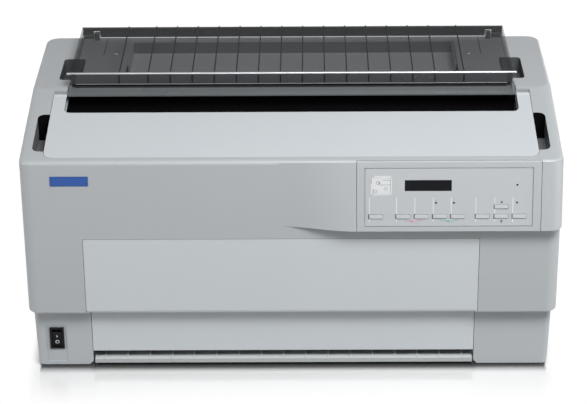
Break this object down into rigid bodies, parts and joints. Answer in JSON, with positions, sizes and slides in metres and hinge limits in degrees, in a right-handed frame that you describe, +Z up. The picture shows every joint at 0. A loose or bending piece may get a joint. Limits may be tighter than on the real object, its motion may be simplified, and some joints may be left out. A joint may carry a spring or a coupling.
{
  "type": "dot matrix printer",
  "caption": "Wide stepped printer case with a hinged top cover, smoked rear cover with tear-off flap, drop-down front cover and a panel that swells out; platen, moving head and tractors inside.",
  "frame": {"origin": "on the table under the middle of the case, at the bottom of the feet", "axes": "+X to the right as seen from the front, +Y to the rear, +Z up; the paper and control panel side faces -Y"},
  "size_m": [0.7, 0.382, 0.363],
  "materials": {
    "case_plastic": "fine grained, light bluish grey",
    "base_plastic": "fine grained, bluish grey",
    "cover_plastic": "fine grained, light bluish grey",
    "guide_plastic": "ribbed, greenish grey",
    "smoked_plastic": "transparent, smoke grey",
    "black_plastic": "plain black",
    "dark_plastic": "dark grey",
    "white_plastic": "natural acetal",
    "key_plastic": "pale grey",
    "plate_blue": "blue, printed",
    "display_glass": "dark window",
    "rubber": "black rubber",
    "steel": "bright steel",
    "zinc_plate": "zinc-plated sheet",
    "chrome": "polished",
    "brass": "turned",
    "head_metal": "black anodised",
    "board_green": "printed circuit board"
  },
  "bodies": {
    "case": {"lower_case": "base_plastic", "upper_case": "case_plastic", "rubber_feet": "rubber", "name_plate": "plate_blue", "hinge_pins": "steel", "front_paper_guide": "guide_plastic", "switch_frame": "black_plastic", "panel_housing": "case_plastic", "panel_face": "cover_plastic", "display_window": "display_glass", "status_lamps": "display_glass", "panel_board": "board_green", "left_frame": "zinc_plate", "right_frame": "zinc_plate", "frame_stays": "zinc_plate", "carriage_shaft": "steel", "ribbon_cartridge": "black_plastic", "carriage_belt": "rubber", "carriage_motor": "dark_plastic", "feed_motor": "dark_plastic", "tractor_rails": "steel", "rear_paper_guide": "guide_plastic", "power_supply": "zinc_plate", "main_board": "board_green"},
    "top_cover": {"top_cover": "cover_plastic"},
    "rear_cover": {"rear_cover": "smoked_plastic", "rod_brackets": "black_plastic", "flap_rod": "chrome"},
    "tear_off_flap": {"tear_off_flap": "smoked_plastic"},
    "front_cover": {"front_cover": "cover_plastic"},
    "switch_rocker": {"switch_rocker": "black_plastic"},
    "carriage": {"carriage": "dark_plastic", "print_head": "head_metal"},
    "drive_pulley": {"drive_pulley": "brass"},
    "idler_pulley": {"idler_pulley": "brass"},
    "platen": {"platen_shaft": "steel", "platen_roller": "rubber", "platen_gear": "white_plastic"},
    "feed_pinion": {"feed_pinion": "brass"},
    "front_idler_gear": {"front_idler_gear": "white_plastic"},
    "rear_idler_gear": {"rear_idler_gear": "white_plastic"},
    "front_tractor_shaft": {"front_tractor_shaft": "steel"},
    "rear_tractor_shaft": {"rear_tractor_shaft": "steel"},
    "key_1": {"key_1": "key_plastic"},
    "key_2": {"key_2": "key_plastic"},
    "key_3": {"key_3": "key_plastic"},
    "key_4": {"key_4": "key_plastic"},
    "key_5": {"key_5": "key_plastic"},
    "key_6": {"key_6": "key_plastic"},
    "key_7": {"key_7": "key_plastic"},
    "key_8": {"key_8": "key_plastic"},
    "key_9": {"key_9": "key_plastic"},
    "front_left_tractor": {"front_left_tractor": "dark_plastic"},
    "front_left_gate": {"front_left_gate": "guide_plastic"},
    "front_right_tractor": {"front_right_tractor": "dark_plastic"},
    "front_right_gate": {"front_right_gate": "guide_plastic"},
    "rear_left_tractor": {"rear_left_tractor": "dark_plastic"},
    "rear_left_gate": {"rear_left_gate": "guide_plastic"},
    "rear_right_tractor": {"rear_right_tractor": "dark_plastic"},
    "rear_right_gate": {"rear_right_gate": "guide_plastic"}
  },
  "joints": [
    {"name": "top_cover_hinge", "type": "hinge", "parent": "case", "child": "top_cover", "pos_m": [0, -0.0154, 0.33267], "axis": [-1, 0, 0], "range_deg": [0, 70]},
    {"name": "rear_cover_hinge", "type": "hinge", "parent": "case", "child": "rear_cover", "pos_m": [0, 0.184, 0.346], "axis": [-1, 0, 0], "range_deg": [0, 95]},
    {"name": "tear_off_flap_hinge", "type": "hinge", "parent": "rear_cover", "child": "tear_off_flap", "pos_m": [0, -0.0015, 0.3612], "axis": [-1, 0, 0], "range_deg": [0, 70]},
    {"name": "front_cover_hinge", "type": "hinge", "parent": "case", "child": "front_cover", "pos_m": [0, -0.148, 0.034], "axis": [1, 0, 0], "range_deg": [0, 85]},
    {"name": "power_switch", "type": "hinge", "parent": "case", "child": "switch_rocker", "pos_m": [-0.31555, -0.153, 0.0435], "axis": [-1, 0, 0], "range_deg": [0, 18]},
    {"name": "key_1_press", "type": "slide", "parent": "case", "child": "key_1", "axis": [0, 0.9852, -0.1713], "range_m": [0, 0.0012], "stiffness_N_per_m": 300, "springref_m": -0.0004},
    {"name": "key_2_press", "type": "slide", "parent": "case", "child": "key_2", "axis": [0, 0.9852, -0.1713], "range_m": [0, 0.0012], "stiffness_N_per_m": 300, "springref_m": -0.0004},
    {"name": "key_3_press", "type": "slide", "parent": "case", "child": "key_3", "axis": [0, 0.9852, -0.1713], "range_m": [0, 0.0012], "stiffness_N_per_m": 300, "springref_m": -0.0004},
    {"name": "key_4_press", "type": "slide", "parent": "case", "child": "key_4", "axis": [0, 0.9852, -0.1713], "range_m": [0, 0.0012], "stiffness_N_per_m": 300, "springref_m": -0.0004},
    {"name": "key_5_press", "type": "slide", "parent": "case", "child": "key_5", "axis": [0, 0.9852, -0.1713], "range_m": [0, 0.0012], "stiffness_N_per_m": 300, "springref_m": -0.0004},
    {"name": "key_6_press", "type": "slide", "parent": "case", "child": "key_6", "axis": [0, 0.9852, -0.1713], "range_m": [0, 0.0012], "stiffness_N_per_m": 300, "springref_m": -0.0004},
    {"name": "key_7_press", "type": "slide", "parent": "case", "child": "key_7", "axis": [0, 0.9852, -0.1713], "range_m": [0, 0.0012], "stiffness_N_per_m": 300, "springref_m": -0.0004},
    {"name": "key_8_press", "type": "slide", "parent": "case", "child": "key_8", "axis": [0, 0.9852, -0.1713], "range_m": [0, 0.0012], "stiffness_N_per_m": 300, "springref_m": -0.0004},
    {"name": "key_9_press", "type": "slide", "parent": "case", "child": "key_9", "axis": [0, 0.9852, -0.1713], "range_m": [0, 0.0012], "stiffness_N_per_m": 300, "springref_m": -0.0004},
    {"name": "carriage_slide", "type": "slide", "parent": "case", "child": "carriage", "axis": [1, 0, 0], "range_m": [0, 0.38]},
    {"name": "drive_pulley_turn", "type": "hinge", "parent": "case", "child": "drive_pulley", "pos_m": [-0.262, -0.1, 0.197], "axis": [0, 1, 0], "range_deg": [-5, 2450]},
    {"name": "idler_pulley_turn", "type": "hinge", "parent": "case", "child": "idler_pulley", "pos_m": [0.262, -0.1, 0.197], "axis": [0, 1, 0], "range_deg": [-5, 2450]},
    {"name": "platen_turn", "type": "hinge", "parent": "case", "child": "platen", "pos_m": [0, -0.03, 0.262], "axis": [1, 0, 0], "continuous": true},
    {"name": "front_idler_turn", "type": "hinge", "parent": "case", "child": "front_idler_gear", "pos_m": [0.309, -0.07302, 0.20056], "axis": [1, 0, 0], "continuous": true},
    {"name": "rear_idler_turn", "type": "hinge", "parent": "case", "child": "rear_idler_gear", "pos_m": [0.309, 0.04386, 0.24898], "axis": [1, 0, 0], "continuous": true},
    {"name": "front_tractor_turn", "type": "hinge", "parent": "case", "child": "front_tractor_shaft", "pos_m": [0, -0.10915, 0.14896], "axis": [1, 0, 0], "continuous": true},
    {"name": "rear_tractor_turn", "type": "hinge", "parent": "case", "child": "rear_tractor_shaft", "pos_m": [0, 0.10662, 0.25447], "axis": [1, 0, 0], "continuous": true},
    {"name": "feed_pinion_turn", "type": "hinge", "parent": "case", "child": "feed_pinion", "pos_m": [0.309, -0.04602, 0.1538], "axis": [1, 0, 0], "continuous": true},
    {"name": "front_left_tractor_slide", "type": "slide", "parent": "case", "child": "front_left_tractor", "axis": [1, 0, 0], "range_m": [-0.012, 0.08]},
    {"name": "front_right_tractor_slide", "type": "slide", "parent": "case", "child": "front_right_tractor", "axis": [1, 0, 0], "range_m": [-0.25, 0.012]},
    {"name": "rear_left_tractor_slide", "type": "slide", "parent": "case", "child": "rear_left_tractor", "axis": [1, 0, 0], "range_m": [-0.012, 0.08]},
    {"name": "rear_right_tractor_slide", "type": "slide", "parent": "case", "child": "rear_right_tractor", "axis": [1, 0, 0], "range_m": [-0.25, 0.012]},
    {"name": "front_left_gate_hinge", "type": "hinge", "parent": "front_left_tractor", "child": "front_left_gate", "pos_m": [-0.197, -0.12515, 0.127], "axis": [0, 0, -1], "range_deg": [0, 110]},
    {"name": "front_right_gate_hinge", "type": "hinge", "parent": "front_right_tractor", "child": "front_right_gate", "pos_m": [0.197, -0.12515, 0.127], "axis": [0, 0, 1], "range_deg": [0, 110]},
    {"name": "rear_left_gate_hinge", "type": "hinge", "parent": "rear_left_tractor", "child": "rear_left_gate", "pos_m": [-0.197, 0.085, 0.27047], "axis": [0, -1, 0], "range_deg": [0, 110]},
    {"name": "rear_right_gate_hinge", "type": "hinge", "parent": "rear_right_tractor", "child": "rear_right_gate", "pos_m": [0.197, 0.085, 0.27047], "axis": [0, 1, 0], "range_deg": [0, 110]}
  ],
  "couplings": [
    {"joint": "drive_pulley_turn", "follows": "carriage_slide", "rad_per_m": 111.11},
    {"joint": "idler_pulley_turn", "follows": "carriage_slide", "rad_per_m": 111.11},
    {"joint": "front_idler_turn", "follows": "platen_turn", "ratio": -0.66667},
    {"joint": "rear_idler_turn", "follows": "platen_turn", "ratio": -0.66667},
    {"joint": "front_tractor_turn", "follows": "platen_turn", "ratio": 1.6667},
    {"joint": "rear_tractor_turn", "follows": "platen_turn", "ratio": 1.6667},
    {"joint": "feed_pinion_turn", "follows": "platen_turn", "ratio": 3.3333}
  ]
}
